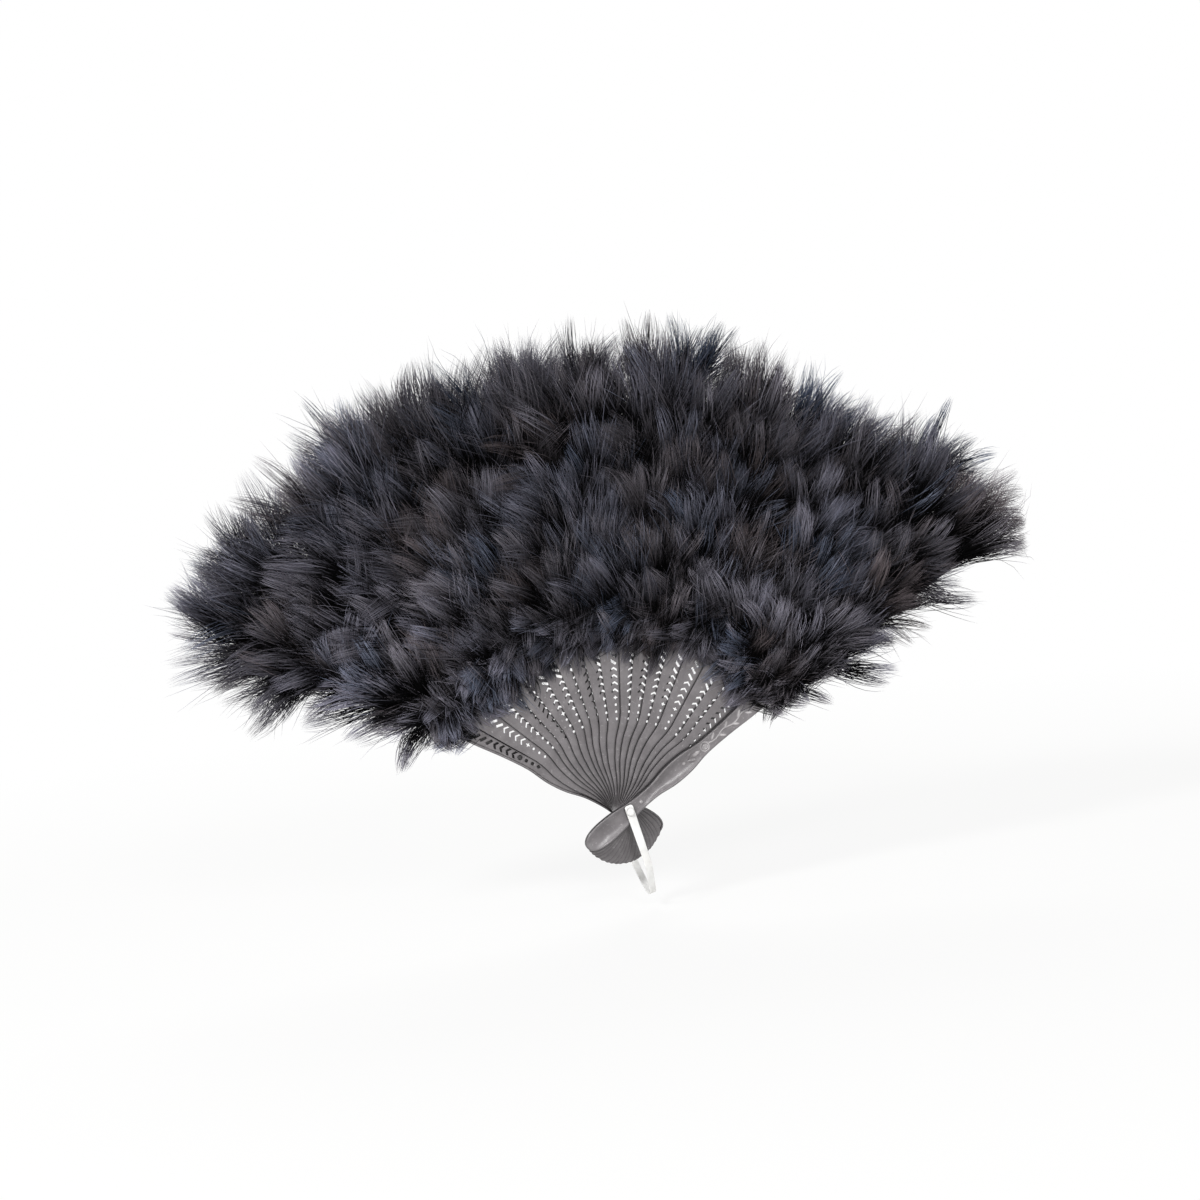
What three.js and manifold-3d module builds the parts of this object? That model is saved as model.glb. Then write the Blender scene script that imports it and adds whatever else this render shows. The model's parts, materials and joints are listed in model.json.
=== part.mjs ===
// A folding hand fan: pierced sticks between two guards on one pivot pin, each stave with its plume.
// Millimetres. X runs across the open fan, +Z up along its middle, and -Y is the front that faces out.
// The origin lies on the pivot axis, half way through the stack.
import * as THREE from 'three';
import { mergeVertices } from 'three/addons/utils/BufferGeometryUtils.js';
import Module from 'manifold-3d';

const wasm = await Module();
wasm.setup();

// The stack on the pivot, with its uneven steps in turn from the front guard to the back guard
const OPEN_STEPS_DEG = [
  6.1, 4.8, 5.8, 7.6, 6.6, 5.5, 6.3, 5.1, 7.4, 5.7, 5.3, 4.5, 6, 5.9, 6, 4.4, 5.7, 7.6, 7.6,
];
const STICK_THICKNESS = 1.1;
const GUARD_THICKNESS = 2.6;
const LAYER_GAP = 0.35;
const FIT_GAP = 0.3;

// Stick outline, from the tail below the pivot over a bulge and a waist to the blade and its rib
const TAIL_ROUND = 14;
const TAIL_TAPER = 18;
const TAIL_WIDTH = 12.4;
const TAIL_BLUNTNESS = 0.77;
const NECK_RISE = 6;
const NECK_WIDTH = 7.2;
const BULGE_RISE = 35;
const BULGE_WIDTH = 13.4;
const WAIST_RISE = 20;
const BLADE_LENGTH = 49;
const BLADE_HALF_ANGLE_DEG = 5;
const SHOULDER_LENGTH = 5;
const RIB_LENGTH = 91;
const RIB_WIDTH = 4;
const RIB_TIP_WIDTH = 2.4;

// Piercings down the middle of each blade
const PIERCE_BELOW_WAIST = 3;
const PIERCE_PITCH = 4.1;
const PIERCE_END_WALL = 6;
const DOT_RADIUS = 0.85;
const DOT_SIDES = 6;
const STAR_RADIUS = 1.7;
const STAR_POINTS = 4;
const STAR_WAIST = 0.7;
const CHEVRON_SPAN = 4.2;
const CHEVRON_RISE = 1.5;
const CHEVRON_BAND = 1.25;
const SLOT_LENGTH = 4.2;
const SLOT_WIDTH = 1.5;
const SLOT_SLANT_DEG = -38;

// Guard outline and its rounded outer edge
const GUARD_HEAD_WIDTH = 13.4;
const GUARD_NECK_RISE = 13;
const GUARD_NECK_WIDTH = 8.1;
const GUARD_BULGE_RISE = 37;
const GUARD_BULGE_WIDTH = 12.7;
const GUARD_WAIST_RISE = 25;
const GUARD_WAIST_WIDTH = 8.3;
const GUARD_BLADE_WIDTH = 11;
const GUARD_RIB_WIDTH = 6;
const GUARD_TIP_WIDTH = 4.5;
const GUARD_EDGE = 2.1;
const GUARD_BEVEL = 0.8;

// Pivot pin and its cap
const PIN_DIAMETER = 3;
const PIN_CLEARANCE = 0.35;
const PIN_HEAD_LIP = 0.45;
const PIN_HEAD_HEIGHT = 1;
const PIN_CROWN_SHARE = 0.7;
const CAP_WALL = 1.2;
const CAP_CROWN = 1;
const CAP_CROWN_SHARE = 0.65;
const CAP_GRIP = 1.6;

// Hanging loop: one flat strip from the front of the pin, under the tails, to the back of the pin
const LOOP_WIDTH = 5;
const LOOP_NOSE_WIDTH = 3.8;
const LOOP_THICKNESS = 1;
const LOOP_END_REACH = 4;
const LOOP_END_CORNER = 1.3;
const LOOP_DROP = 20;
const LOOP_NOSE_RADIUS = 7.5;
const LOOP_KNEE_ROOM = 1;
const LOOP_LEAN_DEG = 14;

// Linking cord that stops the staves from opening further
const CORD_DIAMETER = 0.8;
const CORD_LIFT = 0.5;
const CORD_ROOM = 0.6;

// Feather plumes
const PLUME_BASE_FLARE = 7;
const PLUME_WIDTH = 56;
const PLUME_BEYOND = 83;
const PLUME_TIP_WIDTH = 38;
const PLUME_PUFF = 10;
const PLUME_ROUNDING = 9;
const TIP_CURVE_SHARE = 0.75;
const ROUNDING_MARGIN = 1.2;

const STICK_CURVE_STEPS = 5;
const GUARD_CURVE_STEPS = 3;
const GUARD_EDGE_STEPS = 2;
const PLUME_CURVE_STEPS = 6;
const PLUME_EDGE_STEPS = 3;
const ROUND_SIDES = 16;
const CORD_STEPS_PER_STAVE = 3;
const CORD_SIDES = 8;
const LOOP_NOSE_STEPS = 4;
const MERGE_DISTANCE = 1e-4;

// Sizes that follow from the ones above
const lastStave = OPEN_STEPS_DEG.length;
const stickCount = lastStave - 1;
const openedDeg = (steps) => steps.reduce((sum, step) => sum + step, 0);
const spreadDeg = openedDeg(OPEN_STEPS_DEG);
const stackDepth = 2 * GUARD_THICKNESS + stickCount * STICK_THICKNESS + lastStave * LAYER_GAP;
const frontFace = -stackDepth / 2;
const tailLength = TAIL_ROUND + TAIL_TAPER;
const pinRadius = PIN_DIAMETER / 2;
const pivotHoleRadius = pinRadius + PIN_CLEARANCE;
const waistAt = BULGE_RISE + WAIST_RISE;
const bladeEnd = waistAt + BLADE_LENGTH;
const shoulderTop = bladeEnd + SHOULDER_LENGTH;
const ribTip = shoulderTop + RIB_LENGTH;
const cordRadius = shoulderTop + CORD_ROOM + CORD_DIAMETER / 2;
const plumeStart = cordRadius + CORD_DIAMETER / 2 + CORD_ROOM;
const plumeTip = ribTip + PLUME_BEYOND;

const radians = THREE.MathUtils.degToRad;

// Stave 0 is the front guard at the right, and the last one is the back guard at the left
const staveAngle = (index) => radians(spreadDeg / 2 - openedDeg(OPEN_STEPS_DEG.slice(0, index)));

// Y of the back face of a stave
function backFace(index) {
  if (index === 0) {
    return frontFace + GUARD_THICKNESS;
  }
  const sticksBehind = Math.min(index, stickCount);
  const throughSticks = frontFace + GUARD_THICKNESS + sticksBehind * (LAYER_GAP + STICK_THICKNESS);
  return index <= stickCount ? throughSticks : throughSticks + LAYER_GAP + GUARD_THICKNESS;
}

const finish = (color, roughness) => new THREE.MeshStandardMaterial({ color, roughness, metalness: 0 });
const plastic = () => finish('#6f6b6d', 0.42);
const whitePlastic = () => finish('#efefec', 0.35);
const thread = () => finish('#2a292c', 0.9);
const feather = () => finish('#3a383d', 1);

// Joining and cutting closed meshes
function toSolid(geometry) {
  const bare = geometry.clone();
  bare.deleteAttribute('normal');
  bare.deleteAttribute('uv');
  const merged = mergeVertices(bare, MERGE_DISTANCE);
  const mesh = new wasm.Mesh({
    numProp: 3,
    vertProperties: new Float32Array(merged.attributes.position.array),
    triVerts: new Uint32Array(merged.index.array),
  });
  return new wasm.Manifold(mesh);
}

function toGeometry(solid) {
  const mesh = solid.getMesh();
  const geometry = new THREE.BufferGeometry();
  geometry.setAttribute('position', new THREE.BufferAttribute(mesh.vertProperties, 3));
  geometry.setIndex(new THREE.BufferAttribute(mesh.triVerts, 1));
  geometry.computeVertexNormals();
  return geometry;
}

// A flat outline drawn in X and Z, given its thickness towards the front
function standUp(geometry) {
  return geometry.rotateX(Math.PI / 2);
}

function plate(shape, thickness, curveSegments) {
  return new THREE.ExtrudeGeometry(shape, { depth: thickness, bevelEnabled: false, curveSegments });
}

function named(name, geometry, material) {
  const mesh = new THREE.Mesh(geometry, material);
  mesh.name = name;
  return mesh;
}

// Draws the right side of an outline upwards from its first point, then the same side mirrored downwards
function mirroredShape(first, rightSide) {
  const shape = new THREE.Shape();
  shape.moveTo(first[0], first[1]);
  for (const { to, from, into } of rightSide) {
    if (from) {
      shape.bezierCurveTo(from[0], from[1], into[0], into[1], to[0], to[1]);
    } else {
      shape.lineTo(to[0], to[1]);
    }
  }
  const top = rightSide[rightSide.length - 1].to;
  if (top[0] !== 0) {
    shape.lineTo(-top[0], top[1]);
  }
  for (let i = rightSide.length - 1; i >= 0; i -= 1) {
    const { from, into } = rightSide[i];
    const back = i > 0 ? rightSide[i - 1].to : first;
    if (from) {
      shape.bezierCurveTo(-into[0], into[1], -from[0], from[1], -back[0], back[1]);
    } else {
      shape.lineTo(-back[0], back[1]);
    }
  }
  return shape;
}

// A smooth step between two points that are both level with the stave's length
function along(from, to) {
  const middle = (from[1] + to[1]) / 2;
  return { from: [from[0], middle], into: [to[0], middle], to };
}

function tailEnd(width) {
  const widest = [width / 2, -TAIL_TAPER];
  const lowered = -TAIL_TAPER - TAIL_ROUND / 2;
  return { from: [(TAIL_BLUNTNESS * width) / 2, -tailLength], into: [width / 2, lowered], to: widest };
}

function pivotHole() {
  return new THREE.Path().absarc(0, 0, pivotHoleRadius, 0, 2 * Math.PI, true);
}

function polygonHole(points, at) {
  return new THREE.Path(points.map(([x, y]) => new THREE.Vector2(x, y + at)));
}

const roundPoints = (count, radiusAt) =>
  Array.from({ length: count }, (_, i) => {
    const angle = (2 * Math.PI * i) / count;
    return [radiusAt(i) * Math.sin(angle), radiusAt(i) * Math.cos(angle)];
  });

const dot = () => roundPoints(DOT_SIDES, () => DOT_RADIUS);
const star = () => roundPoints(2 * STAR_POINTS, (i) => (i % 2 ? STAR_WAIST : STAR_RADIUS));

function chevron() {
  const half = CHEVRON_SPAN / 2;
  const low = -CHEVRON_RISE / 2;
  const high = CHEVRON_RISE / 2;
  const band = CHEVRON_BAND / 2;
  return [
    [0, high + band],
    [half, low + band],
    [half, low - band],
    [0, high - band],
    [-half, low - band],
    [-half, low + band],
  ];
}

function slot() {
  const slant = radians(SLOT_SLANT_DEG);
  const corners = [[-1, -1], [1, -1], [1, 1], [-1, 1]];
  return corners.map(([a, b]) => {
    const x = (a * SLOT_LENGTH) / 2;
    const y = (b * SLOT_WIDTH) / 2;
    return [x * Math.cos(slant) - y * Math.sin(slant), x * Math.sin(slant) + y * Math.cos(slant)];
  });
}

const pierceRows = [dot, dot, dot, star, chevron, chevron, chevron, chevron, slot, slot, slot];

function stickShape() {
  const bladeWidthAt = (distance) => distance * Math.tan(radians(BLADE_HALF_ANGLE_DEG));
  const widest = [TAIL_WIDTH / 2, -TAIL_TAPER];
  const neck = [NECK_WIDTH / 2, NECK_RISE];
  const bulge = [BULGE_WIDTH / 2, BULGE_RISE];
  const waist = [bladeWidthAt(waistAt), waistAt];
  const bladeTop = [bladeWidthAt(bladeEnd), bladeEnd];
  const shape = mirroredShape([0, -tailLength], [
    tailEnd(TAIL_WIDTH),
    along(widest, neck),
    along(neck, bulge),
    along(bulge, waist),
    { to: bladeTop },
    along(bladeTop, [RIB_WIDTH / 2, shoulderTop]),
    { to: [RIB_TIP_WIDTH / 2, ribTip] },
  ]);
  shape.holes.push(pivotHole());
  const firstRow = waistAt - PIERCE_BELOW_WAIST;
  const rowsThatFit = Math.floor((bladeEnd - PIERCE_END_WALL - firstRow) / PIERCE_PITCH) + 1;
  pierceRows.slice(0, rowsThatFit).forEach((piercing, row) => {
    shape.holes.push(polygonHole(piercing(), firstRow + row * PIERCE_PITCH));
  });
  return shape;
}

function guardShape() {
  const widest = [GUARD_HEAD_WIDTH / 2, -TAIL_TAPER];
  const neck = [GUARD_NECK_WIDTH / 2, GUARD_NECK_RISE];
  const bulge = [GUARD_BULGE_WIDTH / 2, GUARD_BULGE_RISE];
  const waist = [GUARD_WAIST_WIDTH / 2, GUARD_BULGE_RISE + GUARD_WAIST_RISE];
  const bladeTop = [GUARD_BLADE_WIDTH / 2, bladeEnd];
  return mirroredShape([0, -tailLength], [
    tailEnd(GUARD_HEAD_WIDTH),
    along(widest, neck),
    along(neck, bulge),
    along(bulge, waist),
    along(waist, bladeTop),
    along(bladeTop, [GUARD_RIB_WIDTH / 2, shoulderTop]),
    { to: [GUARD_TIP_WIDTH / 2, ribTip] },
  ]);
}

function drill(solid, depth) {
  const drillBit = new THREE.CylinderGeometry(pivotHoleRadius, pivotHoleRadius, depth, ROUND_SIDES);
  drillBit.rotateX(Math.PI / 2);
  return solid.subtract(toSolid(drillBit));
}

// The part of a solid on the +Z side of its own drawing plane
function aboveDrawing(solid, reach) {
  const below = new THREE.BoxGeometry(2 * reach, 2 * reach, reach);
  below.translate(0, 0, -reach / 2);
  return solid.subtract(toSolid(below));
}

// A plate with a flat inner face and a rounded outer edge
function crownedPlate(shape, edge, thickness, bevel, steps) {
  const geometry = new THREE.ExtrudeGeometry(shape, {
    depth: edge,
    bevelEnabled: true,
    bevelThickness: thickness - edge,
    bevelSize: bevel,
    bevelOffset: -bevel,
    bevelSegments: steps.edge,
    curveSegments: steps.curve,
  });
  return aboveDrawing(toSolid(geometry), 2 * plumeTip);
}

function guardGeometry() {
  const narrowest = Math.min(GUARD_WAIST_WIDTH, GUARD_TIP_WIDTH);
  const bevel = Math.min(GUARD_BEVEL, narrowest / 3);
  const steps = { curve: GUARD_CURVE_STEPS, edge: GUARD_EDGE_STEPS };
  const crowned = crownedPlate(guardShape(), GUARD_EDGE, GUARD_THICKNESS, bevel, steps);
  return standUp(toGeometry(drill(crowned, stackDepth)));
}

const stickGeometry = () => standUp(plate(stickShape(), STICK_THICKNESS, STICK_CURVE_STEPS));

// Leaf outline of a plume, widest at the tip of the rib that carries it
function plumeSide() {
  const half = PLUME_WIDTH / 2;
  return [
    {
      from: [half, plumeStart + (ribTip - plumeStart) / 4],
      into: [half, ribTip - (ribTip - plumeStart) / 3],
      to: [half, ribTip],
    },
    {
      from: [half, ribTip + PLUME_BEYOND / 2],
      into: [PLUME_TIP_WIDTH / 2, plumeTip],
      to: [0, plumeTip],
    },
  ];
}

// Half width of the channel in a plume where its rib lies
const channelHalf = (ribWidth) => ribWidth / 2 + FIT_GAP;

// A stick's plume lies in the same layer as the stick, so it keeps to the stick's thickness
function stickPlumeGeometry() {
  const shape = mirroredShape([channelHalf(RIB_TIP_WIDTH), ribTip + FIT_GAP], [
    { to: [channelHalf(RIB_WIDTH), plumeStart] },
    { to: [channelHalf(RIB_WIDTH) + PLUME_BASE_FLARE, plumeStart] },
    ...plumeSide(),
  ]);
  return standUp(plate(shape, STICK_THICKNESS, PLUME_CURVE_STEPS));
}

// A guard's plume has nothing outside it, so it puffs out over the guard's outer face
function guardPlumeGeometry() {
  const baseHalf = channelHalf(GUARD_RIB_WIDTH) + PLUME_BASE_FLARE;
  const depth = GUARD_THICKNESS + PLUME_PUFF;
  const tipRadius = (TIP_CURVE_SHARE * PLUME_TIP_WIDTH ** 2) / PLUME_BEYOND;
  const narrowest = Math.min(PLUME_WIDTH / 4, baseHalf, tipRadius);
  const rounding = Math.min(PLUME_ROUNDING, narrowest / ROUNDING_MARGIN);
  const shape = mirroredShape([baseHalf, plumeStart], plumeSide());
  const steps = { curve: PLUME_CURVE_STEPS, edge: PLUME_EDGE_STEPS };
  const puff = crownedPlate(shape, GUARD_THICKNESS, depth, rounding, steps);
  const reachBelow = plumeStart - SHOULDER_LENGTH;
  const channel = mirroredShape([channelHalf(GUARD_RIB_WIDTH), reachBelow], [
    { to: [channelHalf(GUARD_TIP_WIDTH) + FIT_GAP, ribTip + FIT_GAP] },
  ]);
  const channelDepth = 2 * (GUARD_THICKNESS + FIT_GAP);
  const cutter = plate(channel, channelDepth, 1).translate(0, 0, -channelDepth / 2);
  return standUp(toGeometry(puff.subtract(toSolid(cutter))));
}

const loopInner = stackDepth / 2 + FIT_GAP;
const loopOuter = loopInner + LOOP_THICKNESS;
const loopSeat = tailLength + LOOP_DROP;
const loopEnd = loopSeat + LOOP_THICKNESS;

function pinGeometry() {
  const headBack = -loopOuter - FIT_GAP;
  const headFront = headBack - PIN_HEAD_HEIGHT;
  const headRadius = pinRadius + PIN_CLEARANCE + PIN_HEAD_LIP;
  const tail = loopOuter + FIT_GAP + CAP_GRIP;
  const profile = [
    [0, headFront],
    [headRadius * PIN_CROWN_SHARE, headFront],
    [headRadius, headBack - PIN_HEAD_HEIGHT / 2],
    [headRadius, headBack],
    [pinRadius, headBack],
    [pinRadius, tail],
    [0, tail],
  ];
  return new THREE.LatheGeometry(profile.map(([x, y]) => new THREE.Vector2(x, y)), ROUND_SIDES);
}

function capGeometry() {
  const seat = loopOuter + FIT_GAP;
  const bore = pinRadius + FIT_GAP;
  const outer = bore + CAP_WALL;
  const boreEnd = seat + CAP_GRIP + FIT_GAP;
  const profile = [
    [0, boreEnd],
    [bore, boreEnd],
    [bore, seat],
    [outer, seat],
    [outer, boreEnd],
    [outer * CAP_CROWN_SHARE, boreEnd + CAP_CROWN],
    [0, boreEnd + CAP_CROWN],
  ];
  return new THREE.LatheGeometry(profile.map(([x, y]) => new THREE.Vector2(x, y)), ROUND_SIDES);
}

// The strip's middle line in Y and Z: straight past the tails, then drawn in to a round nose
function loopLine() {
  const side = loopInner + LOOP_THICKNESS / 2;
  const noseRadius = LOOP_NOSE_RADIUS + LOOP_THICKNESS / 2;
  const noseCentre = LOOP_NOSE_RADIUS - loopSeat;
  const knee = -tailLength - LOOP_KNEE_ROOM;
  const rise = knee - noseCentre;
  const reach = Math.hypot(side, rise);
  const lastAngle = Math.atan2(rise, side) - Math.acos(noseRadius / reach);
  const half = [[side, LOOP_END_REACH], [side, knee]];
  for (let step = 0; step < LOOP_NOSE_STEPS; step += 1) {
    const part = (step + 0.5) / LOOP_NOSE_STEPS;
    const angle = lastAngle + (-Math.PI / 2 - lastAngle) * part;
    half.push([noseRadius * Math.cos(angle), noseCentre + noseRadius * Math.sin(angle)]);
  }
  const mirrored = half.map(([y, z]) => [-y, z]).reverse();
  return [...half, ...mirrored].map(([y, z]) => new THREE.Vector2(y, z));
}

// A closed outline half the strip's thickness to each side of its middle line
function stripShape(line, thickness) {
  const offset = (sign) =>
    line.map((point, i) => {
      const before = point.clone().sub(line[Math.max(i - 1, 0)]).normalize();
      const after = line[Math.min(i + 1, line.length - 1)].clone().sub(point).normalize();
      const tangent = before.clone().add(after).normalize();
      const alongSegment = i > 0 ? before : after;
      const mitre = thickness / 2 / tangent.dot(alongSegment);
      return new THREE.Vector2(point.x - sign * tangent.y * mitre, point.y + sign * tangent.x * mitre);
    });
  return new THREE.Shape([...offset(1), ...offset(-1).reverse()]);
}

// The strip is bent in Y and Z, then trimmed from the front to its rounded ends and narrower nose
function loopGeometry() {
  const strip = plate(stripShape(loopLine(), LOOP_THICKNESS), LOOP_WIDTH, 1);
  strip.translate(0, 0, -LOOP_WIDTH / 2);
  strip.rotateX(Math.PI / 2).rotateZ(Math.PI / 2);

  const half = LOOP_WIDTH / 2;
  const corner = Math.min(LOOP_END_CORNER, half);
  const belowNose = -loopEnd - FIT_GAP;
  const face = new THREE.Shape();
  face.moveTo(LOOP_NOSE_WIDTH / 2, belowNose);
  face.lineTo(half, -LOOP_END_REACH);
  face.absarc(half - corner, LOOP_END_REACH - corner, corner, 0, Math.PI / 2, false);
  face.absarc(corner - half, LOOP_END_REACH - corner, corner, Math.PI / 2, Math.PI, false);
  face.lineTo(-half, -LOOP_END_REACH);
  face.lineTo(-LOOP_NOSE_WIDTH / 2, belowNose);
  face.holes.push(pivotHole());
  const faceDepth = 4 * loopOuter;
  const trim = plate(face, faceDepth, ROUND_SIDES / 2).translate(0, 0, -faceDepth / 2);
  return toGeometry(toSolid(strip).intersect(toSolid(standUp(trim))));
}

function pointOnStave(angle, y) {
  return new THREE.Vector3(cordRadius * Math.sin(angle), y, cordRadius * Math.cos(angle));
}

// The cord is glued along the backs of the staves, and crosses to the inner face of the back guard
function cordGeometry() {
  const clear = CORD_LIFT + CORD_DIAMETER / 2;
  const points = [];
  for (let index = 0; index < lastStave; index += 1) {
    points.push(pointOnStave(staveAngle(index), backFace(index) + clear));
  }
  const pastRib = Math.atan((RIB_WIDTH / 2 + CORD_DIAMETER) / cordRadius);
  const pastGuard = Math.atan((GUARD_RIB_WIDTH / 2 + CORD_DIAMETER) / cordRadius);
  const guardInside = backFace(lastStave) - GUARD_THICKNESS - clear;
  points.push(pointOnStave(staveAngle(lastStave - 1) - pastRib, backFace(lastStave - 1) + clear));
  points.push(pointOnStave(staveAngle(lastStave) + pastGuard, guardInside));
  points.push(pointOnStave(staveAngle(lastStave), guardInside));
  const section = new THREE.Shape(
    roundPoints(CORD_SIDES, () => CORD_DIAMETER / 2).map(([x, y]) => new THREE.Vector2(x, y)),
  );
  return new THREE.ExtrudeGeometry(section, {
    steps: lastStave * CORD_STEPS_PER_STAVE,
    extrudePath: new THREE.CatmullRomCurve3(points),
    bevelEnabled: false,
  });
}

// One stave of the fan, turned to its open angle, with its back face on its own layer
function stave(index, ...meshes) {
  const group = new THREE.Group();
  group.rotation.y = staveAngle(index);
  group.position.y = backFace(index);
  group.add(...meshes);
  return group;
}

function frontGuard() {
  const guard = named('front_guard', guardGeometry(), plastic());
  const plume = named('front_guard_plume', guardPlumeGeometry(), feather());
  return stave(0, guard, plume);
}

// The back guard is the front guard turned over, so its flat face lies against the sticks
function backGuard() {
  const guard = named('back_guard', guardGeometry(), plastic());
  const plume = named('back_guard_plume', guardPlumeGeometry(), feather());
  const turnedOver = new THREE.Group();
  turnedOver.rotation.z = Math.PI;
  turnedOver.position.y = -GUARD_THICKNESS;
  turnedOver.add(guard, plume);
  return stave(lastStave, turnedOver);
}

function stick(index) {
  const number = String(index).padStart(2, '0');
  const blade = named(`stick_${number}`, stickGeometry(), plastic());
  const plume = named(`plume_${number}`, stickPlumeGeometry(), feather());
  return stave(index, blade, plume);
}

function hangingLoop() {
  const loop = named('hanging_loop', loopGeometry(), whitePlastic());
  loop.rotation.y = -radians(LOOP_LEAN_DEG);
  return loop;
}

const fan = new THREE.Group();
fan.add(frontGuard());
for (let index = 1; index <= stickCount; index += 1) {
  fan.add(stick(index));
}
fan.add(backGuard());
fan.add(named('pivot_pin', pinGeometry(), whitePlastic()));
fan.add(named('pin_cap', capGeometry(), whitePlastic()));
fan.add(hangingLoop());
fan.add(named('linking_cord', cordGeometry(), thread()));

export default fan;
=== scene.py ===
import json
import math
import bmesh
import bpy
import numpy as np
from mathutils import Matrix, Vector


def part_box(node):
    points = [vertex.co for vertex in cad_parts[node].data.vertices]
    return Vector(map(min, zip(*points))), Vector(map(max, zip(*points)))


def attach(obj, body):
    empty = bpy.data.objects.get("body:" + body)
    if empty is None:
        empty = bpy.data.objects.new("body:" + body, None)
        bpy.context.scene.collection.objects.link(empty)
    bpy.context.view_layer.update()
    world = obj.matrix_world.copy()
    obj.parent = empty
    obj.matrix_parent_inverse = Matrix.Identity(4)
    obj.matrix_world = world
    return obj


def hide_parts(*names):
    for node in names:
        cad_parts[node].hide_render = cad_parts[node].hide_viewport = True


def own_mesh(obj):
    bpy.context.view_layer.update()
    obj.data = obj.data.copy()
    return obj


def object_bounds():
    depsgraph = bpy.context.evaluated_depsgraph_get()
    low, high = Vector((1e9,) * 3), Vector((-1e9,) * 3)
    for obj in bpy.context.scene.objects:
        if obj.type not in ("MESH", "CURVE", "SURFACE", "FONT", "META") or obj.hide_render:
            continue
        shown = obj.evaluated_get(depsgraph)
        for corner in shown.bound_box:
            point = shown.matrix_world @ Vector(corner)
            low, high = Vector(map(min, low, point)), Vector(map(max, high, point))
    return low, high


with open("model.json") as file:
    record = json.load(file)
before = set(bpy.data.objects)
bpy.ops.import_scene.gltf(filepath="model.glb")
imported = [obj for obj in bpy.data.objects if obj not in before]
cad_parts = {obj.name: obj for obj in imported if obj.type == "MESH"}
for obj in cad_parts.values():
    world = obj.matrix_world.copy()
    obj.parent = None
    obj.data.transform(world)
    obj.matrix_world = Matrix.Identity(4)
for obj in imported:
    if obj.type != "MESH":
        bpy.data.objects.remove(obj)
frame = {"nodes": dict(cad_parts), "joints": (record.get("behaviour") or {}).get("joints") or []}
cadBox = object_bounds()
scene = bpy.context.scene
scene.view_settings.view_transform = "Standard"
print("frame loaded:", len(frame["nodes"]), "nodes")

perMetre = 1000     # mm
plainWhite = (1, 1, 1, 1)


# small helpers
def linear(hexColour):
    shares = [int(hexColour[i:i + 2], 16) / 255 for i in (1, 3, 5)]
    return [s / 12.92 if s <= 0.04045 else ((s + 0.055) / 1.055) ** 2.4 for s in shares] + [1]


def addNode(tree, kind, settings=None, values=None, links=None):
    node = tree.nodes.new(kind)
    for name, value in (settings or {}).items():
        setattr(node, name, value)
    for name, value in (values or {}).items():
        node.inputs[name].default_value = value
    for name, source in (links or {}).items():
        tree.links.new(source, node.inputs[name])
    return node


def newMaterial(name):
    material = bpy.data.materials.new(name)
    material.use_nodes = True
    tree = material.node_tree
    tree.nodes.clear()
    return material, tree


def rampStops(node, stops):
    ramp, stops = node.color_ramp, list(stops)
    while len(ramp.elements) < len(stops):
        ramp.elements.new(0.5)
    for element, (place, hexColour) in zip(ramp.elements, stops):
        element.position = place
        element.color = linear(hexColour)


def curve(at, knots):
    return np.interp(at, *zip(*knots))


def unit(v):
    return v / np.linalg.norm(v, axis=-1, keepdims=True)


def tubeFaces(rings, around, first=0):
    # quads between neighbouring rings of points, and a lid on each end
    faces = []
    for j in range(rings - 1):
        low, high = first + j * around, first + (j + 1) * around
        for m in range(around):
            n = (m + 1) % around
            faces.append([low + m, low + n, high + n, high + m])
    last = first + (rings - 1) * around
    faces.append(list(range(first, first + around))[::-1])
    faces.append(list(range(last, last + around)))
    return faces


def storeValues(mesh, named):
    for label, values in named.items():
        attribute = mesh.attributes.new(label, "FLOAT", "POINT")
        attribute.data.foreach_set("value", values.astype(np.float32))


def smoothFaces(mesh):
    mesh.polygons.foreach_set("use_smooth", np.ones(len(mesh.polygons), bool))


def addMesh(name, points, faces, material, body):
    mesh = bpy.data.meshes.new(name)
    mesh.from_pydata(points, [], faces)
    mesh.materials.append(material)
    piece = bpy.data.objects.new(name, mesh)
    scene.collection.objects.link(piece)
    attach(piece, body)
    return piece


# camera at the photograph's viewing angle
cameraView = {
    "azimuth": -15.8,   # degrees round the fan, 0 looks at its front
    "elevation": 5.0,
    "roll": -5.4,
    "distance": 1.63,   # metres from the pivot
    "aside": -0.0127,   # pivot to the middle of the picture, along the picture
    "above": 0.1198,
    "lens": 85,
    "sensor": 36,
}


def makeCamera(v):
    a, e, r = (math.radians(v[k]) for k in ("azimuth", "elevation", "roll"))
    back = Vector((math.sin(a) * math.cos(e), -math.cos(a) * math.cos(e), math.sin(e)))
    level = Vector((math.cos(a), math.sin(a), 0))
    upright = back.cross(level)
    right = level * math.cos(r) + upright * math.sin(r)
    up = upright * math.cos(r) - level * math.sin(r)
    data = bpy.data.cameras.new("camera")
    data.lens = v["lens"]
    data.sensor_width = v["sensor"]
    camera = bpy.data.objects.new("camera", data)
    scene.collection.objects.link(camera)
    place = right * v["aside"] + up * v["above"] + back * v["distance"]
    camera.matrix_world = Matrix.Translation(place) @ Matrix((right, up, back)).transposed().to_4x4()
    scene.camera = camera


makeCamera(cameraView)
print("camera set")

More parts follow.
